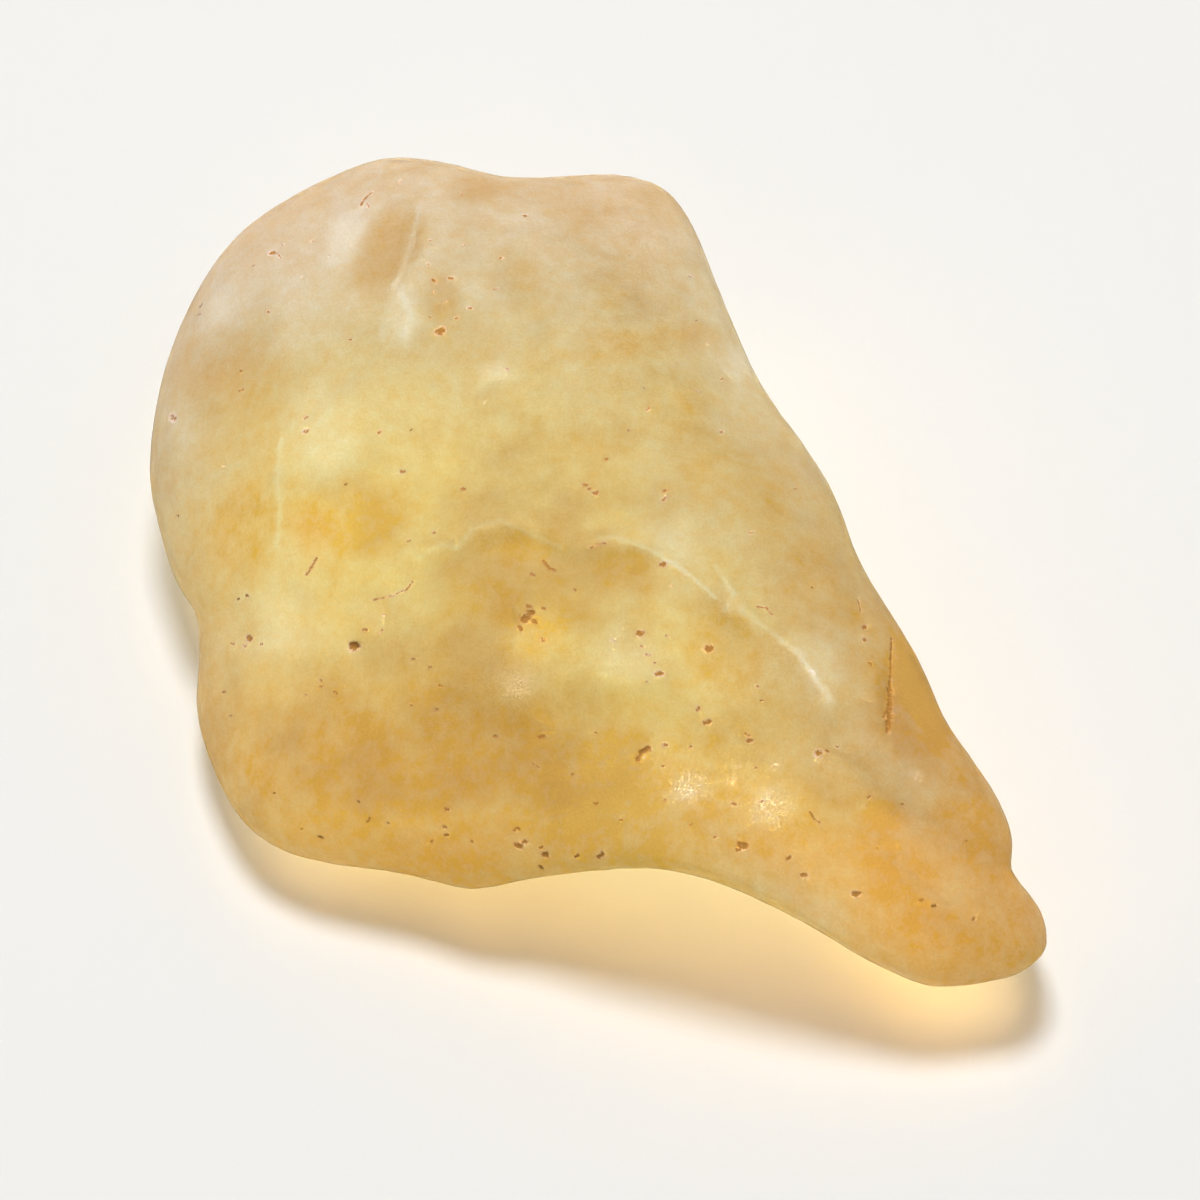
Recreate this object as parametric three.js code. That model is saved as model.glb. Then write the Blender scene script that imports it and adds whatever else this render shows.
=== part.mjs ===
// A piece of Libyan desert glass: one natural lump of pale yellow silica glass, worn smooth by sand.
// Millimetres, +Z up. It lies on its flat underside, with the origin under the middle of its box.
import * as THREE from "three";
import { ImprovedNoise } from "three/addons/math/ImprovedNoise.js";
import { mergeVertices } from "three/addons/utils/BufferGeometryUtils.js";

// The broad face leans toward -Y. Its own axes are across (+X), along (up the lean) and out (square to it),
// and they start at FACE_ORIGIN.
const FACE_LEAN = THREE.MathUtils.degToRad(38);
const FACE_ORIGIN = new THREE.Vector3(0.5, -2.0, 8);
const ALONG = new THREE.Vector3(0, Math.cos(FACE_LEAN), Math.sin(FACE_LEAN));
const OUT = new THREE.Vector3(0, -Math.sin(FACE_LEAN), Math.cos(FACE_LEAN));

// The waist: the widest line round the lump, seen square to the broad face, anticlockwise from the tip.
// Each point is [across, along, height above the ground].
const WAIST = [
  [20.7, -15.5, 4.6], // the blunt tip
  [20.0, -13.7, 5.6],
  [19.0, -12.4, 7.0], // the step where the rear flank meets the tip
  [19.0, -11.0, 8.0],
  [18.5, -9.4, 8.6],
  [17.5, -7.7, 9.2],
  [16.1, -5.6, 9.8],
  [14.8, -2.6, 10.5],
  [12.2, 1.9, 11.6],
  [11.2, 4.7, 12.3], // the shoulder of the right side
  [10.1, 6.8, 12.5],
  [7.7, 10.4, 12.8],
  [6.3, 13.6, 13.2],
  [4.1, 19.0, 14.0],
  [2.9, 20.3, 14.0], // the rear right corner
  [1.0, 20.9, 14.0],
  [-4.5, 20.8, 14.0], // the dip in the rear edge
  [-7.9, 21.6, 14.0],
  [-10.2, 21.8, 14.0],
  [-12.3, 21.3, 13.4],
  [-17.8, 18.1, 11.0],
  [-20.95, 12.8, 8.4],
  [-22.0, 6.7, 6.2], // the left side
  [-21.5, 3.8, 5.4],
  [-20.45, 0.8, 4.7],
  [-19.5, -0.7, 4.3], // the notch of the left side
  [-19.3, -2.6, 3.9],
  [-19.3, -5.2, 3.4],
  [-18.45, -7.9, 3.1],
  [-16.7, -10.6, 3.0],
  [-14.5, -11.9, 3.0],
  [-9.1, -12.8, 3.6],
  [-6.0, -13.4, 4.2],
  [-3.3, -12.9, 5.4],
  [0.0, -12.4, 7.3],
  [2.8, -12.3, 8.4], // the arch of the front edge
  [5.4, -12.9, 8.5],
  [9.3, -14.7, 7.2],
  [12.3, -16.5, 5.4],
  [15.2, -17.7, 4.3],
  [18.0, -17.5, 4.2],
  [19.9, -16.8, 4.7],
];
const WAIST_CENTRE = { across: -1.9, along: 1.9 };
// The plane that the waist lies near: its "out" at the face origin, and its rise per millimetre.
const WAIST_PLANE = { out: 0.65, across: 0.1, along: -0.426 };

const CROWN_HEIGHT = 8; // of the upper side over the waist plane
const CROWN_SHOULDER = 2.6; // how full the section is: 2 is an ellipse
const CROWN_ROUND = 2.2;
const BELLY_CENTRE_HEIGHT = 10;
const BELLY_DIP = 0.5; // how far the flat underside cuts into the round belly
const BELLY_SHOULDER = 2.3;
const BELLY_ROUND = 2.2;
const BELLY_BOTTOM = { x: -1.5, y: 2 }; // the middle of the flat underside
const FLAT_BLEND = 0.25; // half the height over which the belly turns into the flat

// The upper side turns down past these lines by slope, softly, and levels off when it has dropped by most.
const BEVELS = [
  { name: "front lobe, left", at: [-9.5, -2.4], toward: -95, slope: 0.3, soft: 0.9, most: 1.3 },
  { name: "front lobe, right", at: [6.0, -5.6], toward: -112, slope: 0.25, soft: 1.0, most: 0.8 },
  { name: "left flank", at: [-15.0, 4.2], toward: 160, slope: 0.35, soft: 0.9, most: 1.2 },
  { name: "right flank", at: [13.9, -4.0], toward: 38, slope: 0.8, soft: 0.4, most: 2.0 },
];

// Swells (+) and hollows (-) of the upper side: middle, radii, turn of the first radius, height.
// An edge of 1 is as soft as a dune, and higher ones turn down more sharply at the radius.
const SWELLS = [
  { name: "rear left boss", at: [-15.0, 17.6], size: [5, 4], turn: 30, height: 0.6, edge: 1 },
  { name: "boss crest", at: [-11.8, 18.0], size: [1.8, 1.0], turn: 55, height: 0.25, edge: 1 },
  { name: "scoop", at: [-10.1, 16.8], size: [2.5, 1.15], turn: 62, height: -0.6, edge: 1.6 },
  { name: "rear dimple", at: [-6.1, 19.9], size: [1.3, 0.6], turn: 8, height: -0.3, edge: 1.3 },
  { name: "small dimple", at: [-7.6, 14.5], size: [1.1, 0.75], turn: 78, height: -0.35, edge: 1.6 },
  { name: "upper hollow", at: [-4.1, 15.7], size: [1.6, 1.2], turn: 20, height: -0.25, edge: 1 },
  { name: "upper left hollow", at: [-17.1, 9.5], size: [2.2, 3.2], turn: 0, height: -0.4, edge: 1 },
  { name: "left hollow", at: [-17.0, 3.5], size: [3.2, 1.5], turn: 82, height: -0.5, edge: 1.8 },
  { name: "swell in the left notch", at: [-18.2, -1.2], size: [3.6, 2.4], turn: 0, height: 0.7, edge: 1 },
  { name: "left dish", at: [-11.6, 4.3], size: [3.2, 2.2], turn: 18, height: -0.55, edge: 1.6 },
  { name: "broad hollow", at: [-7.9, 8.4], size: [4.5, 2.8], turn: 40, height: -0.35, edge: 1 },
  { name: "centre hollow", at: [-1.4, 7.5], size: [2.0, 1.1], turn: -5, height: -0.25, edge: 1 },
  { name: "arch hollow", at: [-4.3, 2.4], size: [2.2, 0.9], turn: 5, height: -0.25, edge: 1.6 },
  { name: "right arch hollow", at: [1.4, 1.6], size: [1.9, 1.1], turn: -5, height: -0.25, edge: 1.6 },
  { name: "middle dish", at: [-3.2, -0.6], size: [3.2, 2.0], turn: 0, height: -0.5, edge: 1.2 },
  { name: "right dish", at: [5.2, -2.4], size: [2.2, 1.7], turn: -20, height: -0.4, edge: 1.6 },
  { name: "right hollow", at: [9.3, 2.6], size: [2.4, 4.0], turn: 20, height: -0.35, edge: 1 },
  { name: "swell below the dishes", at: [0.9, -3.4], size: [2.4, 1.0], turn: 0, height: 0.3, edge: 1 },
  { name: "bruise", at: [-3.8, -4.0], size: [1.5, 1.2], turn: 0, height: 0.4, edge: 1 },
  { name: "front scar", at: [4.1, -8.7], size: [1.2, 0.8], turn: -20, height: -0.2, edge: 1.4 },
  { name: "front crest", at: [7.8, -9.4], size: [1.8, 1.0], turn: -15, height: 0.3, edge: 1 },
  { name: "tip hollow", at: [12.8, -9.9], size: [1.4, 1.0], turn: -35, height: -0.35, edge: 1.4 },
  { name: "tip boss", at: [16.3, -13.4], size: [2.2, 1.6], turn: -40, height: 0.3, edge: 1 },
];

// Low rounded ridges and grooves of the upper side, each along its own line.
const RIDGES = [
  { name: "scoop edge", path: [[-8.2, 19.0], [-8.8, 16.6], [-9.5, 13.3]], width: 0.8, height: 0.35 },
  { name: "left ridge", path: [[-9.6, 12.2], [-12.7, 7.5], [-15.1, 4.2], [-16, 0]], width: 1.3, height: 0.4 },
  { name: "middle ridge", path: [[-7.9, 2.3], [-4.2, 3.6], [-2.3, 3.0], [0, 2.4]], width: 0.6, height: 0.3 },
  { name: "right arch", path: [[0, 2.4], [3.2, 2.8], [4.6, 2.3], [6.4, -0.5]], width: 0.8, height: 0.3 },
  { name: "right ridge", path: [[6.4, -0.5], [9.2, -2.5], [10.5, -4.6]], width: 0.8, height: 0.35 },
  { name: "tip ridge", path: [[12.8, -6.6], [18.0, -10.0], [19.2, -12.2]], width: 0.8, height: 0.3 },
  { name: "groove", path: [[13.6, -1.8], [13.3, -3.2], [13.2, -6.0]], width: 0.35, height: -0.4 },
];

// Pits of the upper side, each with its middle, radius and depth.
const PITS = [
  { at: [-11.4, -2.2], radius: 0.35, depth: 0.4 },
  { at: [-3.4, -0.8], radius: 0.45, depth: 0.4 },
  { at: [1.7, -7.2], radius: 0.45, depth: 0.3 },
  { at: [-16.6, -1.9], radius: 0.5, depth: 0.3 },
];

// Broad hollows of the rear, the sides and the underside: middle in the lump's own frame, radius, depth.
const LOWER_HOLLOWS = [
  { at: [6, 22, 7], radius: 6, depth: 1.2 },
  { at: [-9, 23, 6], radius: 5, depth: 0.8 },
  { at: [-20, 10, 5], radius: 6, depth: 1.0 },
  { at: [-18, -5, 3], radius: 4, depth: 0.6 },
  { at: [13, 6, 5], radius: 6, depth: 1.1 },
  { at: [17, -9, 3], radius: 4, depth: 0.7 },
  { at: [2, -14, 2.5], radius: 5, depth: 0.7 },
];

// Gentle unevenness all over: its height on the upper side and on the belly, and the length of its waves.
const UNDULATION = { crown: 0.3, belly: 0.7, length: 7 };
const NOISE_SHIFT = new THREE.Vector3(9.1, 0, 3.7); // parts the two sizes of waves

// The mesh starts as an even ball, and its edges are then split until they are no longer than these.
const START_DETAIL = 11;
const BELLY_EDGE = 2.2;
const CROWN_EDGE = 1.65;
const FINE_EDGE = 0.98; // round the small forms of the upper side
const SPLIT_ROUNDS = 3;
// After that, edges are turned in rounds where the triangles gain at least this much evenness.
const TURN_ROUNDS = 12;
const TURN_GAIN = 0.01;
const SMALL_SWELL = 2; // a swell whose second radius is under this gets fine edges
const WAIST_SAMPLES = 24; // for each point of the waist

// The waist as a closed smooth curve, sampled by the angle round its centre.
function makeWaist() {
  const points = WAIST.map(([across, along, height]) => {
    const out = (height - FACE_ORIGIN.z - along * ALONG.z) / OUT.z;
    return new THREE.Vector3(across, along, out);
  });
  const curve = new THREE.CatmullRomCurve3(points, true, "centripetal");
  const samples = curve.getPoints(WAIST.length * WAIST_SAMPLES).map((point) => ({
    angle: Math.atan2(point.y - WAIST_CENTRE.along, point.x - WAIST_CENTRE.across),
    point,
  }));
  samples.sort((a, b) => a.angle - b.angle);
  const last = samples.at(-1);
  const first = samples[0];
  samples.unshift({ angle: last.angle - 2 * Math.PI, point: last.point });
  samples.push({ angle: first.angle + 2 * Math.PI, point: first.point });
  return samples;
}

const waist = makeWaist();

function waistAt(angle) {
  let low = 0;
  let high = waist.length - 1;
  while (high - low > 1) {
    const middle = (low + high) >> 1;
    if (waist[middle].angle <= angle) low = middle;
    else high = middle;
  }
  const span = waist[high].angle - waist[low].angle;
  const share = span > 0 ? (angle - waist[low].angle) / span : 0;
  return waist[low].point.clone().lerp(waist[high].point, share);
}

function waistPlane(across, along) {
  return WAIST_PLANE.out + WAIST_PLANE.across * across + WAIST_PLANE.along * along;
}

// From the face's axes to the lump's own frame.
function fromFace(across, along, out) {
  return FACE_ORIGIN.clone()
    .add(new THREE.Vector3(across, 0, 0))
    .addScaledVector(ALONG, along)
    .addScaledVector(OUT, out);
}

// How far a point lies from a middle, in units of an ellipse's radii.
function ellipseDistance(across, along, { at, size, turn }) {
  const angle = THREE.MathUtils.degToRad(turn);
  const x = across - at[0];
  const y = along - at[1];
  const first = (x * Math.cos(angle) + y * Math.sin(angle)) / size[0];
  const second = (y * Math.cos(angle) - x * Math.sin(angle)) / size[1];
  return Math.hypot(first, second);
}

function pathDistance(across, along, path) {
  let nearest = Infinity;
  for (let i = 1; i < path.length; i++) {
    const [ax, ay] = path[i - 1];
    const [bx, by] = path[i];
    const length2 = (bx - ax) ** 2 + (by - ay) ** 2;
    const share = ((across - ax) * (bx - ax) + (along - ay) * (by - ay)) / length2;
    const t = THREE.MathUtils.clamp(share, 0, 1);
    nearest = Math.min(nearest, Math.hypot(across - ax - t * (bx - ax), along - ay - t * (by - ay)));
  }
  return nearest;
}

function bevelDrop(across, along, { at, toward, slope, soft, most }) {
  const angle = THREE.MathUtils.degToRad(toward);
  const past = (across - at[0]) * Math.cos(angle) + (along - at[1]) * Math.sin(angle);
  const drop = slope * soft * Math.log1p(Math.exp(past / soft));
  return most * Math.tanh(drop / most);
}

// Height added to the upper side by its bevels, swells, ridges and pits.
function relief(across, along) {
  let height = 0;
  for (const bevel of BEVELS) height -= bevelDrop(across, along, bevel);
  for (const swell of SWELLS) {
    height += swell.height * Math.exp(-(ellipseDistance(across, along, swell) ** (2 * swell.edge)));
  }
  for (const ridge of RIDGES) {
    height += ridge.height * Math.exp(-((pathDistance(across, along, ridge.path) / ridge.width) ** 2));
  }
  for (const { at, radius, depth } of PITS) {
    height -= depth * Math.exp(-((Math.hypot(across - at[0], along - at[1]) / radius) ** 2));
  }
  return height;
}

const noise = new ImprovedNoise();

// Broad waves and, at two fifths of their height, waves of half their length.
function undulation(point) {
  const broad = point.clone().divideScalar(UNDULATION.length);
  const narrow = broad.clone().multiplyScalar(2).add(NOISE_SHIFT);
  return noise.noise(broad.x, broad.y, broad.z) + 0.4 * noise.noise(narrow.x, narrow.y, narrow.z);
}

// The upper side: a full dome over the waist, with the relief fading out at the waist.
function crownPoint(edge, share) {
  const across = THREE.MathUtils.lerp(WAIST_CENTRE.across, edge.x, share);
  const along = THREE.MathUtils.lerp(WAIST_CENTRE.along, edge.y, share);
  const rise = (1 - share ** CROWN_SHOULDER) ** (1 / CROWN_ROUND);
  const lift = (edge.z - waistPlane(edge.x, edge.y)) * share ** 3;
  const base = waistPlane(across, along) + lift + CROWN_HEIGHT * rise;
  const uneven = UNDULATION.crown * undulation(fromFace(across, along, base));
  return fromFace(across, along, base + rise * (relief(across, along) + uneven));
}

// The underside: a bowl from the waist down to the ground, leaving the waist along -OUT.
function bellyPoint(edge, share) {
  const centre = fromFace(WAIST_CENTRE.across, WAIST_CENTRE.along, 0);
  centre.z = BELLY_CENTRE_HEIGHT;
  const rim = fromFace(edge.x, edge.y, edge.z);
  const fall = (1 - share ** BELLY_SHOULDER) ** (1 / BELLY_ROUND);
  const down = OUT.clone().multiplyScalar(-(BELLY_CENTRE_HEIGHT + BELLY_DIP) / OUT.z);
  const bottom = new THREE.Vector2(BELLY_BOTTOM.x - centre.x - down.x, BELLY_BOTTOM.y - centre.y - down.y);
  const point = new THREE.Vector3(
    centre.x + (rim.x - centre.x) * share + down.x * fall + bottom.x * fall ** 2,
    centre.y + (rim.y - centre.y) * share + down.y * fall + bottom.y * fall ** 2,
    centre.z + (rim.z - centre.z) * share ** 3 + down.z * fall,
  );
  let inset = UNDULATION.belly * undulation(point);
  for (const { at, radius, depth } of LOWER_HOLLOWS) {
    const distance = point.distanceTo(new THREE.Vector3(...at));
    inset += depth * Math.exp(-((distance / radius) ** 2));
  }
  const inward = centre.clone().sub(point).normalize();
  return point.addScaledVector(inward, inset * fall ** 2);
}

// Presses what lies below the ground onto it, with a soft turn at the edge of the flat.
function flattened(point) {
  const { z } = point;
  if (z <= -FLAT_BLEND) point.z = 0;
  else if (z < FLAT_BLEND) point.z = (z + FLAT_BLEND) ** 2 / (4 * FLAT_BLEND);
  return point;
}

// The surface point for a direction from the middle of a unit ball.
function surfacePoint(direction) {
  const flat = Math.min(1, Math.hypot(direction.x, direction.y));
  const edge = waistAt(Math.atan2(direction.y, direction.x));
  if (direction.z >= 0) return crownPoint(edge, flat ** (2 / CROWN_SHOULDER));
  return flattened(bellyPoint(edge, flat ** (2 / BELLY_SHOULDER)));
}

// How long an edge may be at a point of the face: short near the small forms of the upper side.
function edgeLimit(direction, across, along) {
  if (direction.z < 0) return BELLY_EDGE;
  const smallSwells = SWELLS.filter(({ size }) => size[1] < SMALL_SWELL);
  const nearSwell = smallSwells.some((swell) => ellipseDistance(across, along, swell) < 1.5);
  const nearRidge = RIDGES.some(({ path, width }) => pathDistance(across, along, path) < 1.5 * width);
  const nearPit = PITS.some(({ at, radius }) => Math.hypot(across - at[0], along - at[1]) < 2 * radius);
  return nearSwell || nearRidge || nearPit ? FINE_EDGE : CROWN_EDGE;
}

// Splits every edge that is longer than its limit at its middle, and each triangle to match.
function splitLongEdges(directions, triangles) {
  const places = directions.map(surfacePoint);
  const middles = new Map();
  const middleOf = (a, b) => {
    const key = a < b ? a + "," + b : b + "," + a;
    if (!middles.has(key)) {
      const direction = directions[a].clone().add(directions[b]).normalize();
      const offset = surfacePoint(direction).sub(FACE_ORIGIN);
      const limit = edgeLimit(direction, offset.x, offset.dot(ALONG));
      const long = places[a].distanceTo(places[b]) > limit;
      middles.set(key, long ? directions.push(direction) - 1 : -1);
    }
    return middles.get(key);
  };
  const out = [];
  for (const [a, b, c] of triangles) {
    const ab = middleOf(a, b);
    const bc = middleOf(b, c);
    const ca = middleOf(c, a);
    out.push(...splitTriangle([a, b, c], [ab, bc, ca]));
  }
  return out;
}

// One triangle as one to four, by which of its edges have a middle point.
function splitTriangle(corners, middles) {
  const split = middles.filter((middle) => middle >= 0).length;
  if (split === 0) return [corners];
  const [a, b, c] = corners;
  const [ab, bc, ca] = middles;
  if (split === 3) return [[a, ab, ca], [ab, b, bc], [ca, bc, c], [ab, bc, ca]];
  if (split === 1) {
    if (ab >= 0) return [[a, ab, c], [ab, b, c]];
    return splitTriangle([b, c, a], [bc, ca, ab]);
  }
  if (ab >= 0 && bc >= 0) return [[ab, b, bc], [a, ab, bc], [a, bc, c]];
  return splitTriangle([b, c, a], [bc, ca, ab]);
}

// The surface's direction at each place, averaged over the triangles round it by their area.
function cornerNormals(places, triangles) {
  const normals = places.map(() => new THREE.Vector3());
  for (const triangle of triangles) {
    const [a, b, c] = triangle.map((corner) => places[corner]);
    const area = b.clone().sub(a).cross(c.clone().sub(a));
    for (const corner of triangle) normals[corner].add(area);
  }
  return normals.map((normal) => normal.normalize());
}

// How well shaped a triangle is: 1 when even, near 0 when thin, and below 0 when it is folded over.
function evenness(places, normals, [a, b, c]) {
  const ab = places[b].clone().sub(places[a]);
  const ac = places[c].clone().sub(places[a]);
  const squares = ab.lengthSq() + ac.lengthSq() + places[b].distanceToSquared(places[c]);
  const facing = normals[a].clone().add(normals[b]).add(normals[c]).normalize();
  return (2 * Math.sqrt(3) * ab.cross(ac).dot(facing)) / squares;
}

// Turns the shared edge of two triangles wherever the two are then better shaped.
function turnEdges(places, triangles) {
  const normals = cornerNormals(places, triangles);
  const owners = new Map();
  triangles.forEach(([a, b, c], index) => {
    for (const [from, to] of [[a, b], [b, c], [c, a]]) owners.set(from + "," + to, index);
  });
  const turned = new Set();
  for (const [side, first] of [...owners]) {
    const [a, b] = side.split(",").map(Number);
    const second = owners.get(b + "," + a);
    if (turned.has(first) || turned.has(second)) continue;
    const c = triangles[first].find((corner) => corner !== a && corner !== b);
    const d = triangles[second].find((corner) => corner !== a && corner !== b);
    if (owners.has(c + "," + d) || owners.has(d + "," + c)) continue;
    const worst = (...pair) => Math.min(...pair.map((one) => evenness(places, normals, one)));
    if (worst([a, d, c], [d, b, c]) <= worst([a, b, c], [b, a, d]) + TURN_GAIN) continue;
    triangles[first] = [a, d, c];
    triangles[second] = [d, b, c];
    owners.set(c + "," + d, second);
    turned.add(first).add(second);
  }
}

function lumpGeometry() {
  const ball = new THREE.IcosahedronGeometry(1, START_DETAIL);
  ball.deleteAttribute("normal");
  ball.deleteAttribute("uv");
  const merged = mergeVertices(ball, 1e-5);
  const position = merged.getAttribute("position");
  const directions = [];
  for (let i = 0; i < position.count; i++) {
    directions.push(new THREE.Vector3().fromBufferAttribute(position, i).normalize());
  }
  let triangles = [];
  for (let i = 0; i < merged.index.count; i += 3) {
    triangles.push([merged.index.getX(i), merged.index.getX(i + 1), merged.index.getX(i + 2)]);
  }
  for (let round = 0; round < SPLIT_ROUNDS; round++) triangles = splitLongEdges(directions, triangles);
  const places = directions.map(surfacePoint);
  for (let round = 0; round < TURN_ROUNDS; round++) turnEdges(places, triangles);
  const geometry = new THREE.BufferGeometry();
  geometry.setAttribute(
    "position",
    new THREE.Float32BufferAttribute(places.flatMap((place) => [place.x, place.y, place.z]), 3),
  );
  geometry.setIndex(triangles.flat());
  geometry.computeBoundingBox();
  const middle = geometry.boundingBox.getCenter(new THREE.Vector3());
  geometry.translate(-middle.x, -middle.y, 0);
  geometry.computeVertexNormals();
  return geometry;
}

const glass = new THREE.MeshStandardMaterial({ color: 0xddb978, roughness: 0.5, metalness: 0 });
const desertGlass = new THREE.Mesh(lumpGeometry(), glass);
desertGlass.name = "desert_glass";

const part = new THREE.Group();
part.add(desertGlass);

export default part;
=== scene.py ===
"""Lump of Libyan desert glass on a pale floor: a fine, pitted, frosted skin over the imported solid."""
import math

import bpy
import numpy as np
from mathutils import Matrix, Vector
from mathutils.bvhtree import BVHTree


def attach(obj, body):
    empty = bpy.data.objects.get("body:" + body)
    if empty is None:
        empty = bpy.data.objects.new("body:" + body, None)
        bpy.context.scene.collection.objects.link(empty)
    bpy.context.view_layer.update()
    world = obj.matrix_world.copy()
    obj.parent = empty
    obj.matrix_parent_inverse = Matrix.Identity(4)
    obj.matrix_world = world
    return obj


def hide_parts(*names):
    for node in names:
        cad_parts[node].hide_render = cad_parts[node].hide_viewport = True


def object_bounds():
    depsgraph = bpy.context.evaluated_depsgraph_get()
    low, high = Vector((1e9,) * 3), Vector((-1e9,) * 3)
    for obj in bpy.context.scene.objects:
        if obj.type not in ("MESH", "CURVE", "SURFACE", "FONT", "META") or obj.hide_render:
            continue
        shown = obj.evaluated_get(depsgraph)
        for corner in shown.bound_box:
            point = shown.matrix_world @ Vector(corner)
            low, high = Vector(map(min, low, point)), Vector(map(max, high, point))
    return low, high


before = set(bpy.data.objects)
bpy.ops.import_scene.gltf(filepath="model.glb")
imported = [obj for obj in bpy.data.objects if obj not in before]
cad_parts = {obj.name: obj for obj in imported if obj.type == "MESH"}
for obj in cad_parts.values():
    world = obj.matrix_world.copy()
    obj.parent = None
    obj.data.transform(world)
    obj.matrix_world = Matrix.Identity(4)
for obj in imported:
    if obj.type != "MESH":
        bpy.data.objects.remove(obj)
cad_low, cad_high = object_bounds()

MM = 0.001  # the script works in millimetres, and Blender in metres

# ---------------------------------------------------------------- camera
# The picture is square. Its middle looks at TARGET, where it is VIEW_WIDTH across.
ELEVATION = math.radians(52)
DISTANCE = 286.0
TARGET = np.array([0.667, -1.96, 8.0])
VIEW_WIDTH = 57.143
SENSOR = 36.0


def toward_camera():
    """Unit vector from the target to the camera."""
    return np.array([0.0, -math.cos(ELEVATION), math.sin(ELEVATION)])


def make_camera():
    """The camera, tilted down onto the lump."""
    data = bpy.data.cameras.new("camera")
    data.sensor_width = SENSOR
    data.lens = SENSOR * DISTANCE / VIEW_WIDTH
    data.clip_start = 0.01
    data.clip_end = 10.0
    camera = bpy.data.objects.new("camera", data)
    camera.location = Vector((TARGET + DISTANCE * toward_camera()) * MM)
    camera.rotation_euler = (math.pi / 2 - ELEVATION, 0.0, 0.0)
    bpy.context.collection.objects.link(camera)
    bpy.context.scene.camera = camera


# ---------------------------------------------------------------- the upper face
# Marks are placed in millimetres on the plane through TARGET that faces the camera, right and up.
RIGHT = np.array([1.0, 0.0, 0.0])
UP = np.array([0.0, math.sin(ELEVATION), math.cos(ELEVATION)])
SEED = 7
SCATTERED = 170
PORE_DEPTH = 0.35  # share of each mark's depth that is cut; the rest is dirt that fills it

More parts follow.
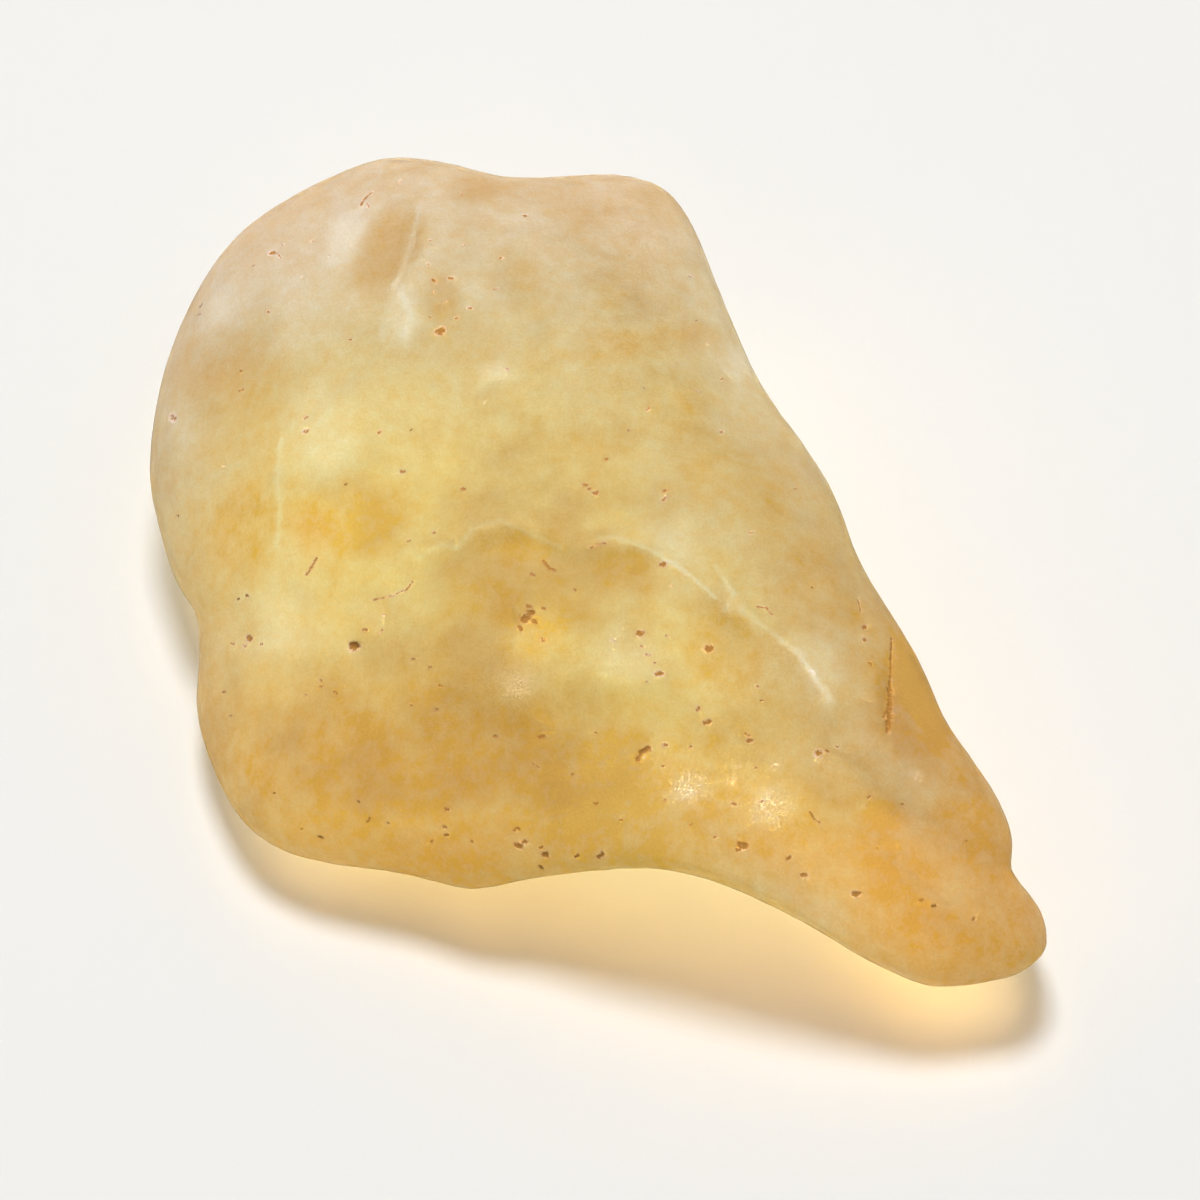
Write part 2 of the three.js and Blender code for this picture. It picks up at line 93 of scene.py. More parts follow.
# Pores: right, up, radius, depth, darkness. Each is the mouth of a bubble that the weather has opened.
PORES = [
    # rear left shoulder
    (-9.5, 19.9, 0.07, 0.05, 0.6), (-15.6, 16.5, 0.17, 0.15, 0.7), (-15.1, 16.9, 0.08, 0.05, 0.7),
    (-13.7, 17.1, 0.06, 0.04, 0.6), (-15.8, 13.7, 0.09, 0.06, 0.8), (-19.0, 14.0, 0.10, 0.06, 0.7),
    (-19.1, 13.6, 0.08, 0.05, 0.6), (-14.2, 15.4, 0.06, 0.04, 0.5), (-17.1, 10.9, 0.08, 0.06, 0.8),
    (-17.1, 10.0, 0.08, 0.06, 0.8), (-20.3, 8.7, 0.24, 0.12, 0.6), (-11.9, 12.4, 0.07, 0.05, 0.8),
    (-17.9, 6.4, 0.06, 0.04, 0.6), (-20.1, 4.0, 0.07, 0.05, 0.6), (-16.5, 15.9, 0.06, 0.04, 0.6),
    (-12.9, 16.4, 0.05, 0.03, 0.5), (-18.2, 12.1, 0.05, 0.03, 0.5),
    # round the scoop and the dimple
    (-7.9, 15.2, 0.10, 0.07, 0.8), (-7.1, 15.3, 0.11, 0.08, 0.8), (-7.6, 12.8, 0.20, 0.18, 1.0),
    (-6.8, 13.4, 0.08, 0.05, 0.8), (-6.2, 13.9, 0.09, 0.06, 0.8), (-8.1, 17.1, 0.07, 0.05, 0.6),
    (-6.5, 16.9, 0.07, 0.05, 0.6), (-8.2, 16.0, 0.06, 0.04, 0.6), (-6.6, 19.3, 0.06, 0.04, 0.5),
    (-8.1, 13.5, 0.06, 0.04, 0.7), (-7.9, 14.7, 0.06, 0.04, 0.6), (-7.4, 14.2, 0.06, 0.04, 0.6),
    # rear middle and rear right
    (-3.6, 18.3, 0.10, 0.07, 0.8), (-4.7, 16.3, 0.10, 0.07, 0.8), (-5.0, 14.8, 0.07, 0.05, 0.7),
    (-4.4, 11.0, 0.08, 0.05, 0.7), (2.3, 9.1, 0.10, 0.07, 0.7), (5.8, 10.5, 0.06, 0.04, 0.8),
    (4.6, 13.3, 0.05, 0.03, 0.6), (5.1, 12.2, 0.05, 0.03, 0.6), (4.3, 15.4, 0.05, 0.03, 0.6),
    (5.8, 8.0, 0.10, 0.07, 0.7), (0.3, 6.7, 0.09, 0.06, 0.8), (1.4, 16.4, 0.06, 0.04, 0.4),
    (1.4, 8.1, 0.06, 0.04, 0.6), (2.1, 10.1, 0.05, 0.03, 0.5),
    # left middle
    (-14.0, 8.7, 0.10, 0.07, 0.7), (-14.0, 8.0, 0.13, 0.08, 0.7), (-10.5, 8.0, 0.08, 0.05, 0.8),
    (-9.0, 8.1, 0.05, 0.03, 0.6), (-9.4, 6.1, 0.10, 0.07, 0.9), (-6.5, 5.3, 0.09, 0.06, 0.9),
    (-12.1, 5.5, 0.06, 0.04, 0.6), (-7.9, 3.2, 0.07, 0.05, 0.8), (-9.1, 2.8, 0.06, 0.04, 0.8),
    (-16.7, -1.8, 0.15, 0.12, 1.0), (-16.9, -2.2, 0.11, 0.08, 0.8), (-17.5, -2.1, 0.07, 0.05, 0.7),
    (-16.1, -2.1, 0.07, 0.05, 0.7), (-17.2, 0.05, 0.07, 0.05, 0.8), (-16.8, 0.2, 0.07, 0.05, 0.8),
    # the large pore at the left, and the specks round it
    (-11.7, -2.2, 0.22, 0.32, 1.0), (-11.2, -1.4, 0.08, 0.05, 0.8), (-10.4, -1.5, 0.07, 0.05, 0.7),
    (-10.3, -0.7, 0.06, 0.04, 0.6), (-13.3, -3.8, 0.07, 0.05, 0.8), (-13.3, -4.1, 0.06, 0.04, 0.8),
    (-14.0, -4.5, 0.06, 0.04, 0.7), (-12.6, -4.4, 0.07, 0.05, 0.6), (-17.9, -4.4, 0.07, 0.05, 0.7),
    (-17.6, -5.5, 0.06, 0.04, 0.6), (-7.6, -4.1, 0.07, 0.05, 0.7), (-7.8, -5.2, 0.08, 0.05, 0.6),
    (-9.0, -5.0, 0.06, 0.04, 0.6), (-8.1, -3.2, 0.07, 0.05, 0.7), (-8.9, -2.8, 0.06, 0.04, 0.7),
    # centre
    (-0.7, 5.5, 0.10, 0.07, 0.7), (-0.2, 5.1, 0.10, 0.07, 0.8), (-0.5, 5.3, 0.08, 0.05, 0.6),
    (3.1, 5.2, 0.09, 0.06, 0.8), (3.1, 4.8, 0.10, 0.07, 0.8), (-3.2, 1.2, 0.09, 0.06, 0.8),
    (3.0, 1.7, 0.14, 0.12, 1.0), (3.4, 0.7, 0.06, 0.04, 0.7), (-1.2, 0.5, 0.06, 0.04, 0.7),
    (-3.6, -0.9, 0.20, 0.25, 1.0), (-3.3, -0.6, 0.16, 0.20, 1.0), (-3.4, -0.3, 0.10, 0.08, 0.9),
    (-2.7, -0.4, 0.07, 0.05, 0.9), (-3.1, -1.0, 0.12, 0.10, 0.9), (-3.8, -1.3, 0.10, 0.08, 0.9),
    (-2.7, -1.9, 0.13, 0.07, 0.6),
    # right of the centre
    (1.9, -1.6, 0.16, 0.14, 1.0), (2.0, -2.2, 0.06, 0.04, 0.7), (2.3, -2.6, 0.07, 0.05, 0.7),
    (2.6, -3.0, 0.06, 0.04, 0.7), (2.8, -3.5, 0.13, 0.10, 1.0), (2.2, -3.9, 0.06, 0.04, 0.7),
    (3.2, -1.7, 0.07, 0.05, 0.8), (0.6, -1.9, 0.07, 0.05, 0.6), (5.2, -2.3, 0.17, 0.17, 1.0),
    (4.7, -5.2, 0.09, 0.06, 0.9), (5.1, -5.8, 0.12, 0.09, 1.0), (-5.0, -6.5, 0.07, 0.05, 0.8),
    (-2.8, -6.5, 0.10, 0.07, 0.9), (-0.2, -6.3, 0.06, 0.04, 0.7), (3.1, -6.9, 0.09, 0.06, 0.8),
    (9.3, 5.3, 0.07, 0.05, 0.6), (7.2, 3.2, 0.07, 0.05, 0.7), (12.6, -1.3, 0.14, 0.08, 0.7),
    (12.6, -1.9, 0.10, 0.06, 0.9), (12.9, -3.0, 0.08, 0.05, 0.7), (7.5, -4.1, 0.06, 0.04, 0.8),
    (7.7, -4.8, 0.05, 0.03, 0.7), (7.1, -6.7, 0.13, 0.09, 0.9), (7.0, -6.4, 0.09, 0.06, 0.7),
    (10.1, 0.6, 0.05, 0.03, 0.7), (10.1, -3.4, 0.09, 0.06, 0.4),
    # front lobe
    (-11.0, -10.5, 0.08, 0.05, 0.7), (-11.5, -9.6, 0.07, 0.05, 0.6), (-13.3, -11.3, 0.10, 0.07, 0.8),
    (-15.5, -9.2, 0.06, 0.04, 0.7), (-7.3, -10.0, 0.09, 0.06, 0.9), (-7.4, -10.8, 0.09, 0.06, 0.9),
    (-7.3, -11.2, 0.08, 0.05, 0.9), (-8.0, -11.5, 0.06, 0.04, 0.8), (-6.1, -11.5, 0.07, 0.05, 0.8),
    (-4.0, -10.9, 0.10, 0.07, 0.8), (-3.9, -11.7, 0.14, 0.10, 0.9), (-3.6, -11.5, 0.13, 0.10, 0.9),
    (-2.6, -12.1, 0.15, 0.12, 1.0), (-2.8, -11.8, 0.09, 0.06, 0.9), (0.05, -12.2, 0.14, 0.10, 0.9),
    (-1.1, -12.2, 0.08, 0.05, 0.8), (-2.8, -12.7, 0.09, 0.06, 0.8), (-0.2, -9.7, 0.07, 0.05, 0.8),
    (1.0, -10.5, 0.06, 0.04, 0.7), (3.1, -9.5, 0.06, 0.04, 0.6), (4.3, -10.7, 0.06, 0.04, 0.7),
    (5.5, -11.3, 0.07, 0.05, 0.8), (4.3, -7.0, 0.07, 0.05, 0.6), (-1.3, -8.3, 0.06, 0.04, 0.6),
    (3.0, -7.9, 0.06, 0.04, 0.6), (6.4, -9.7, 0.09, 0.06, 0.8), (6.8, -11.7, 0.19, 0.20, 1.0),
    (6.6, -11.9, 0.09, 0.07, 0.9), (-10.1, -10.6, 0.06, 0.04, 0.6), (-14.2, -10.9, 0.05, 0.03, 0.6),
    # right lobe and the tip
    (10.4, -7.3, 0.16, 0.13, 1.0), (10.8, -7.2, 0.07, 0.05, 0.7), (11.3, -7.0, 0.07, 0.05, 0.7),
    (7.4, -8.0, 0.07, 0.05, 0.7), (7.7, -9.6, 0.08, 0.05, 0.8), (9.0, -12.3, 0.10, 0.07, 0.9),
    (9.7, -13.1, 0.12, 0.09, 0.9), (12.2, -14.0, 0.14, 0.12, 1.0), (15.3, -14.3, 0.09, 0.06, 0.9),
    (15.9, -14.6, 0.08, 0.05, 0.9), (17.8, -15.2, 0.10, 0.07, 0.8), (14.4, -9.7, 0.08, 0.05, 0.6),
    (12.8, -9.4, 0.07, 0.05, 0.6), (17.4, -11.5, 0.06, 0.04, 0.6), (13.2, -11.8, 0.05, 0.03, 0.6),
]

# Cracks and scratches: points along the line, radius, depth, darkness.
CRACKS = [
    ([(-10.9, 19.4), (-11.2, 19.1), (-11.4, 18.8)], 0.09, 0.06, 0.8),
    ([(-11.1, 18.9), (-11.0, 18.7)], 0.07, 0.05, 0.6),
    ([(-15.5, 16.6), (-15.2, 16.3)], 0.07, 0.05, 0.6),
    ([(-13.5, 2.0), (-13.7, 1.6), (-14.0, 1.2)], 0.07, 0.06, 0.8),
    ([(-8.9, 0.9), (-9.2, 0.5), (-9.9, 0.2), (-10.8, 0.0)], 0.045, 0.05, 0.7),
    ([(-0.45, 2.45), (-0.1, 2.65), (0.25, 2.7)], 0.06, 0.05, 0.7),
    ([(-2.7, 1.85), (-2.45, 1.55), (-2.15, 1.4)], 0.07, 0.05, 0.8),
    ([(7.5, -0.3), (7.9, -0.35), (8.2, -0.7)], 0.06, 0.05, 0.7),
    ([(1.8, -7.6), (1.95, -7.25), (2.3, -7.05)], 0.10, 0.12, 1.0),
    ([(12.3, 0.0), (12.4, -0.5)], 0.05, 0.04, 0.6),
    ([(10.0, -10.1), (10.2, -10.4), (10.45, -10.6)], 0.045, 0.04, 0.7),
    ([(-3.2, -7.8), (-2.9, -8.0)], 0.04, 0.03, 0.5),
    ([(4.3, 10.0), (4.8, 9.9)], 0.04, 0.03, 0.4),
    ([(13.9, -1.8), (13.85, -3.2), (13.8, -4.4)], 0.07, 0.10, 0.8),
    ([(13.8, -4.2), (13.8, -5.3), (13.7, -6.2)], 0.11, 0.16, 0.9),
    ([(13.8, -4.8), (13.5, -5.6)], 0.06, 0.05, 0.7),
    ([(20.9, -15.7), (21.1, -16.3)], 0.05, 0.04, 0.6),
]


def ray_from_camera(right, up):
    """Start and direction of the camera's line of sight through a point of the face's plane."""
    start = TARGET + DISTANCE * toward_camera()
    aim = TARGET + right * RIGHT + up * UP
    return start, (aim - start) / np.linalg.norm(aim - start)


def seen(points):
    """Where the camera sees each point, right and up on the face's plane."""
    offset = points - TARGET
    nearness = 1 - offset @ toward_camera() / DISTANCE
    return np.stack([offset @ RIGHT / nearness, offset @ UP / nearness], axis=1)


# ---------------------------------------------------------------- fine mesh
CROWN_EDGE = 0.36  # longest edges in millimetres, on the crown, on the belly and at the marks
BELLY_EDGE = 0.8
PORE_EDGE = 0.095
EDGE_GROWTH = 1.6  # how fast the longest edge grows with the distance from a mark
MARK_REACH = 1.6  # radii from a mark's middle to where that growth starts
CROWN_START = -9.0  # millimetres from TARGET toward the camera, where the belly's edges get finer
CROWN_BLEND = 6.0  # millimetres from there to the crown's full fineness
ROUNDS = 5


def packed_surface():
    """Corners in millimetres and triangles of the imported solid, with its doubled corners joined."""
    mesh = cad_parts["desert_glass"].data
    mesh.calc_loop_triangles()
    corners = np.empty(len(mesh.vertices) * 3)
    mesh.vertices.foreach_get("co", corners)
    triangles = np.empty(len(mesh.loop_triangles) * 3, np.int32)
    mesh.loop_triangles.foreach_get("vertices", triangles)
    corners = corners.reshape(-1, 3) / MM
    keys = np.round(corners * 1000).astype(np.int64)
    _, first, joined = np.unique(keys, axis=0, return_index=True, return_inverse=True)
    triangles = joined.reshape(-1)[triangles].reshape(-1, 3)
    return corners[first], triangles


def corner_normals(points, triangles):
    """Unit normal at each point, averaged over the triangles round it by their area."""
    a, b, c = (points[triangles[:, k]] for k in range(3))
    face = np.cross(b - a, c - a)
    total = np.zeros_like(points)
    for k in range(3):
        for axis in range(3):
            total[:, axis] += np.bincount(triangles[:, k], face[:, axis], len(points))
    return total / np.maximum(np.linalg.norm(total, axis=1, keepdims=True), 1e-12)


def split_long_edges(points, triangles, edge_limit):
    """Splits each edge longer than its limit at a new point on the smooth curve over it."""
    normals = corner_normals(points, triangles)
    sides = np.concatenate([triangles[:, [0, 1]], triangles[:, [1, 2]], triangles[:, [2, 0]]])
    edges, side_edge = np.unique(np.sort(sides, axis=1), axis=0, return_inverse=True)
    side_edge = side_edge.reshape(3, -1).T
    start, end = points[edges[:, 0]], points[edges[:, 1]]
    middle = (start + end) / 2
    is_long = np.linalg.norm(end - start, axis=1) > edge_limit(middle)
    for near, far, near_corner in ((start, end, 0), (end, start, 1)):
        normal = normals[edges[:, near_corner]]
        rise = np.sum((far - near) * normal, axis=1, keepdims=True)
        middle = middle - rise * normal / 8
    on_base = (start[:, 2] < 1e-4) & (end[:, 2] < 1e-4)
    middle[on_base] = (start[on_base] + end[on_base]) / 2
    new_index = np.full(len(edges), -1)
    new_index[is_long] = len(points) + np.arange(is_long.sum())
    points = np.concatenate([points, middle[is_long]])
    cut = new_index[side_edge]
    return points, split_triangles(triangles, cut)


def split_triangles(triangles, cut):
    """The triangles after their cut sides; cut holds each side's new point, or -1."""
    pattern = (cut >= 0) @ np.array([1, 2, 4])
    made = [triangles[pattern == 0]]
    for turn, one, two in ((0, 1, 3), (1, 2, 6), (2, 4, 5)):
        corners = np.roll(triangles, -turn, axis=1)
        middles = np.roll(cut, -turn, axis=1)
        a, b, c = corners[pattern == one].T
        m = middles[pattern == one, 0]
        made += [np.stack([a, m, c], 1), np.stack([m, b, c], 1)]
        a, b, c = corners[pattern == two].T
        m, n = middles[pattern == two, 0], middles[pattern == two, 1]
        made += [np.stack([m, b, n], 1), np.stack([a, m, n], 1), np.stack([a, n, c], 1)]
    a, b, c = triangles[pattern == 7].T
    m, n, o = cut[pattern == 7].T
    made += [np.stack(corners, 1) for corners in ((a, m, o), (m, b, n), (o, n, c), (m, n, o))]
    return np.concatenate(made)


# ---------------------------------------------------------------- marks on the surface
def stretch_distance(points, start, end):
    """Distance of each point from the straight line between two points."""
    along = end - start
    length = max(float(along @ along), 1e-12)
    share = np.clip((points - start) @ along / length, 0, 1)
    return np.linalg.norm(points - start - share[:, None] * along, axis=1)


def line_distance(points, line):
    """Distance of each point from a line of one or more points."""
    if len(line) == 1:
        return np.linalg.norm(points - line[0], axis=1)
    stretches = [stretch_distance(points, a, b) for a, b in zip(line, line[1:])]
    return np.min(stretches, axis=0)


def slab_finder(points):
    """Gives a quick search for the points that may lie within reach of a line."""
    order = np.argsort(points[:, 0])
    lefts = points[order, 0]

    def near(line, reach):
        across = [place[0] for place in line]
        first, last = np.searchsorted(lefts, (min(across) - reach, max(across) + reach))
        return order[first:last]

    return near


def on_surface(tree, places):
    """The points of the surface that the camera sees at these places, leaving out any that miss."""
    hits = [tree.ray_cast(*map(Vector, ray_from_camera(*place)))[0] for place in places]
    return [np.array(hit) for hit in hits if hit is not None]


def scattered_pores(points, triangles, count):
    """Small pores, mostly tiny, spread evenly over the rear, the sides and the underside."""
    rng = np.random.default_rng(SEED)
    a, b, c = (points[triangles[:, k]] for k in range(3))
    normal = np.cross(b - a, c - a)
    area = np.linalg.norm(normal, axis=1)
    hidden = (normal @ toward_camera() < 0.05 * area) & (a[:, 2] > 0.3)
    chosen = rng.choice(len(triangles), count, p=area * hidden / np.sum(area * hidden))
    marks = []
    for place in (a + b + c)[chosen] / 3:
        radius = 0.05 + 0.15 * rng.random() ** 4
        marks.append(([place], radius, 0.7 * radius, 0.5 + 0.5 * rng.random()))
    return marks


def crooked(rng, right, up, radius):
    """Three places along a short crooked tick: small pores are longer for their width."""
    half = radius * rng.uniform(0.3, 1.0) * (0.25 / (radius + 0.12))
    turn = rng.uniform(-0.6, 0.6)
    bend = rng.uniform(-0.9, 0.9)
    before = (right - half * math.cos(turn), up - half * math.sin(turn))
    after = (right + half * math.cos(turn + bend), up + half * math.sin(turn + bend))
    return [before, (right, up), after]


def placed_marks(tree):
    """The pores and cracks, each as its points on the surface, radius, depth and darkness."""
    rng = np.random.default_rng(SEED)
    marks = []
    for right, up, radius, depth, darkness in PORES:
        tick = on_surface(tree, crooked(rng, right, up, radius))
        marks.append((tick, 0.8 * radius, PORE_DEPTH * depth, darkness))
    for line, radius, depth, darkness in CRACKS:
        marks.append((on_surface(tree, line), radius, PORE_DEPTH * depth, darkness))
    return [mark for mark in marks if mark[0]]


def fine_edge_limit(marks):
    """Gives the edge limit near each point: fine at the marks, coarser away from them."""
    def limit(middle):
        facing = middle @ toward_camera() - TARGET @ toward_camera()
        upper = np.clip((facing - CROWN_START) / CROWN_BLEND, 0, 1)
        most = BELLY_EDGE + (CROWN_EDGE - BELLY_EDGE) * upper
        near = slab_finder(middle)
        for line, radius, _, _ in marks:
            some = near(line, MARK_REACH * radius + BELLY_EDGE / EDGE_GROWTH)
            away = line_distance(middle[some], line) - MARK_REACH * radius
            finest = min(PORE_EDGE, 0.8 * radius)
            most[some] = np.minimum(most[some], finest + EDGE_GROWTH * np.maximum(away, 0))
        return most

    return limit


# ---------------------------------------------------------------- patches of the skin
# Golden patches, mostly in hollows: centre right and up, half sizes, turn in degrees, strength, edge.
# A high edge makes a crisp border.
GOLDEN = {
    "scoop": (-10.0, 16.8, 1.3, 2.3, -38, 1.0, 3),
    "dimple": (-7.6, 14.5, 0.9, 1.2, 0, 0.6, 2),
    "rear dimple": (-6.0, 19.6, 1.3, 0.5, 0, 0.5, 2),
    "rear middle": (-4.0, 15.7, 0.9, 0.9, 0, 0.5, 1),
    "left shoulder": (-17.3, 10.2, 2.3, 2.2, 0, 0.6, 1.5),
    "left hollow": (-16.9, 3.4, 1.5, 2.6, -10, 0.6, 3),
    "left dish": (-12.0, 4.0, 2.9, 1.8, 0, 0.8, 2.5),
    "soft spot": (-1.4, 7.6, 1.0, 0.6, 0, 0.5, 1),
    "arch dish": (-4.2, 2.6, 2.3, 0.9, 0, 0.7, 2.5),
    "right arch dish": (1.4, 1.5, 1.7, 1.1, 0, 0.7, 3),
    "middle": (-3.3, -0.5, 3.3, 2.1, 0, 0.7, 1.5),
    "right dish": (6.1, -2.4, 2.0, 1.9, 0, 0.6, 3),
    "right flank": (9.6, 3.0, 1.8, 4.0, 28, 0.5, 1.5),
    "rear right": (1.0, 14.8, 1.1, 0.9, 0, 0.5, 1),
    "rear streak": (1.8, 12.1, 3.8, 0.6, 8, 0.5, 1.5),
    "rear rim": (-1.0, 18.2, 1.3, 1.0, 0, 0.4, 1),
    "rear rim right": (2.4, 19.0, 1.0, 0.8, 0, 0.4, 1),
    "right middle": (4.3, 8.6, 1.3, 1.0, 0, 0.4, 1),
    "right middle low": (4.8, 6.2, 1.3, 1.1, 0, 0.4, 1),
    "lobe hollow": (13.6, -10.2, 0.9, 0.7, 0, 0.7, 3),
    "outer flank": (15.1, -4.0, 0.8, 2.8, 22, 0.8, 2.5),
    "front lobe": (-8.0, -9.3, 10.5, 6.0, -2, 0.7, 2.5),
    "front lobe right": (3.5, -10.5, 6.5, 3.4, -14, 0.5, 2),
    "tip": (16.5, -14.0, 5.0, 4.0, -30, 0.7, 2),
    "right lobe": (9.5, -8.5, 4.0, 3.0, -30, 0.4, 1),
    "flank": (15.5, -6.0, 2.0, 5.0, 25, 0.8, 2),
}

# Pale patches, mostly on ridges and bosses, where the skin is worn rough; the broad ones on the rear
# and the upper edges are painted sheen.
PALE_WEAR_AND_SHEEN = {
    "left ridge": (-13.2, 7.6, 1.5, 2.4, -18, 0.7, 1.5),
    "scoop foot": (-9.4, 13.4, 0.9, 1.4, -15, 0.6, 1.5),
    "scoop side": (-11.9, 17.7, 0.7, 1.1, -25, 0.7, 1.5),
    "rear left": (-18.1, 13.7, 0.8, 1.2, -20, 0.6, 1),
    "rear spot": (-5.0, 10.9, 0.7, 0.5, 0, 0.8, 1.5),
    "right boss": (3.6, 2.8, 1.4, 0.9, -10, 0.7, 1.5),
    "right edge": (6.7, 11.2, 0.8, 0.8, 0, 0.6, 1),
    "right edge low": (5.7, 8.6, 0.7, 0.9, 0, 0.5, 1),
    "right rim": (9.5, 4.3, 0.6, 1.1, 20, 0.5, 1),
    "centre arc": (0.9, -0.8, 0.7, 1.4, -20, 0.5, 1.5),
    "centre low": (1.4, -3.1, 1.7, 1.1, 0, 0.6, 1.5),
    "white boss": (-3.9, -4.1, 0.9, 0.8, 0, 0.6, 1.5),
    "right ridge": (10.5, -3.2, 0.9, 2.0, 15, 0.7, 1.5),
    "tip lobe": (15.3, -8.8, 1.8, 2.0, 20, 0.6, 1.5),
    "tip boss": (16.9, -14.0, 1.0, 0.7, -30, 0.5, 1),
    "left pores": (-15.2, -2.1, 2.1, 0.8, 3, 0.7, 1.5),
    "left flank": (-15.7, 0.0, 1.4, 1.2, 0, 0.4, 1),
    "bruise": (4.3, -9.1, 1.0, 0.6, 20, 0.5, 1.5),
    "bruise right": (8.1, -9.9, 1.1, 0.9, 0, 0.5, 1.5),
    # Painted sheen: the light from above, painted paler over the rear third and along the upward-facing
    # edges.
    "rear third": (-4.0, 18.0, 11.0, 4.0, 0, 0.45, 1),
    "rear left corner": (-14.5, 15.5, 5.0, 3.5, 40, 0.6, 1),
    "left edge": (-20.5, 9.0, 1.8, 6.0, -4, 0.5, 1),
    "right rear edge": (7.6, 10.5, 1.4, 7.0, 28, 0.6, 1),
}

# Peach-coloured patches: centre right and up, half sizes, turn in degrees, strength, edge.
PEACH = {
    "scoop": (-10.2, 16.2, 1.2, 2.2, -38, 0.8, 2),
    "dimple": (-7.6, 14.4, 0.9, 1.2, 0, 0.7, 1.5),
    "left shoulder": (-17.9, 10.9, 2.0, 1.0, 15, 0.7, 1),
    "dish foot": (-13.6, 3.4, 0.9, 1.1, 0, 1.0, 1.5),
    "under the dish": (-12.0, 1.0, 1.8, 0.9, 0, 0.4, 1),
    "round the pores": (-2.9, -1.7, 1.3, 1.2, 0, 1.0, 1.2),
    "centre": (-1.4, -3.0, 1.5, 1.2, 0, 0.5, 1),
    "rear streak": (2.2, 12.3, 3.4, 0.7, 8, 0.5, 1),
    "rear dimple": (-6.0, 19.6, 1.2, 0.5, 0, 0.5, 1),
    "lobe rim": (-6.0, -11.8, 8.0, 1.6, 0, 0.8, 1.5),
    "right lobe": (9.0, -11.6, 5.0, 1.8, -28, 0.8, 1),
    "tip": (16.5, -14.0, 4.5, 3.0, -30, 0.7, 1),
    "flank": (12.7, -2.0, 0.7, 2.2, 5, 0.5, 1),
    "outer flank": (15.0, -4.2, 0.8, 2.6, 22, 0.6, 2),
}

# Olive patches, where the glass is thick and clear, written in the same way.
OLIVE = {
    "middle": (-3.5, 1.5, 6.0, 6.0, 0, 1.0, 1.5),
    "front lobe": (-8.0, -7.0, 9.0, 4.2, -3, 0.7, 2),
    "right lobe": (8.0, -8.5, 3.5, 2.4, -25, 0.4, 1.5),
    "left dish": (-12.5, 4.5, 2.0, 1.6, 0, 0.3, 1.5),
    "right flank": (14.8, -5.0, 2.2, 6.0, 22, 0.55, 1.5),
}

# Thin pale ridges: points along the line, half width, strength.
PALE_LINES = [
    ([(-15.2, 7.6), (-15.4, 5.7), (-15.2, 4.2), (-15.4, 2.6)], 0.16, 0.9),
    ([(-6.8, 2.5), (-6.0, 3.4), (-4.8, 3.8), (-3.6, 3.3), (-1.9, 2.5)], 0.12, 1.0),
    ([(-8.6, 2.0), (-7.6, 2.6), (-6.8, 2.5)], 0.14, 0.6),
    ([(0.0, 2.9), (0.7, 3.0), (1.9, 2.6), (2.9, 2.1), (4.3, 1.2), (5.5, 0.1)], 0.13, 1.0),
    ([(5.5, 1.6), (6.4, 0.3), (5.9, -0.5)], 0.12, 0.7),
    ([(6.7, -0.5), (8.0, -1.4), (9.5, -2.6), (11.0, -4.8)], 0.16, 0.7),
    ([(-8.6, 18.7), (-8.9, 17.3), (-9.3, 16.0), (-9.8, 15.0)], 0.16, 0.8),
    ([(-9.5, 14.6), (-9.0, 13.6), (-9.3, 12.6)], 0.16, 0.6),
]

# White flecks, where a chip has bruised the glass: right, up, radius, strength.
FLECKS = [
    (-5.5, 9.4, 0.10, 1.0), (-9.7, 2.0, 0.12, 0.6), (-9.0, 1.4, 0.12, 0.6), (-10.9, -0.9, 0.30, 0.5),
    (-10.3, -0.8, 0.20, 0.5), (-1.0, -0.5, 0.08, 0.8), (4.0, 1.3, 0.15, 0.6), (4.2, -8.9, 0.75, 0.9),
    (4.0, -9.2, 0.20, 0.8), (5.0, -9.1, 0.15, 0.8), (6.3, -8.6, 0.25, 0.9), (6.6, -7.9, 0.15, 0.8),
    (8.3, -7.9, 0.25, 0.8), (8.1, -10.0, 0.90, 0.8), (15.1, -8.4, 0.25, 0.8), (17.4, -16.6, 0.12, 0.6),
    (2.1, -7.5, 0.14, 1.0), (10.4, -7.6, 0.13, 0.9), (-3.9, -4.1, 0.90, 0.6), (6.3, -9.9, 0.12, 0.7),
]


RANDOM = np.random.default_rng(SEED)
SHUFFLE = RANDOM.permutation(256)
SLOPES = RANDOM.normal(size=(256, 3))
SLOPES /= np.linalg.norm(SLOPES, axis=1, keepdims=True)


def patch_strength(places, patch):
    """How strongly one oval patch covers each place: 1 well inside it, fading to 0."""
    right, up, half_width, half_height, turn, strength, edge = patch
    angle = math.radians(turn)
    across = places[:, 0] - right
    along = places[:, 1] - up
    turned_across = (across * math.cos(angle) + along * math.sin(angle)) / half_width
    turned_along = (along * math.cos(angle) - across * math.sin(angle)) / half_height
    square = turned_across**2 + turned_along**2
    return strength * np.exp(-(square**edge) * math.log(2))


def lattice_noise(places):
    """Smooth random field, about -1 to 1, with one random slope at each whole-numbered place."""
    corner = np.floor(places).astype(np.int64)
    offset = places - corner
    ease = offset**3 * (offset * (offset * 6 - 15) + 10)
    total = np.zeros(len(places))
    for step in np.ndindex(2, 2, 2):
        x, y, z = (corner + step).T & 255
        slope = SLOPES[SHUFFLE[(SHUFFLE[(SHUFFLE[x] + y) & 255] + z) & 255]]
        share = np.prod(np.where(step, ease, 1 - ease), axis=1)
        total += share * np.sum(slope * (offset - step), axis=1)
    return 1.6 * total


def cloud(points, size, octaves, shift=0.0):
    """Soft random field over the points, about -1 to 1, with lumps of this size and finer ones."""
    total = np.zeros(len(points))
    for octave in range(octaves):
        total += lattice_noise(points * 2**octave / size + shift + 17.3 * octave) / 2**octave
    return total


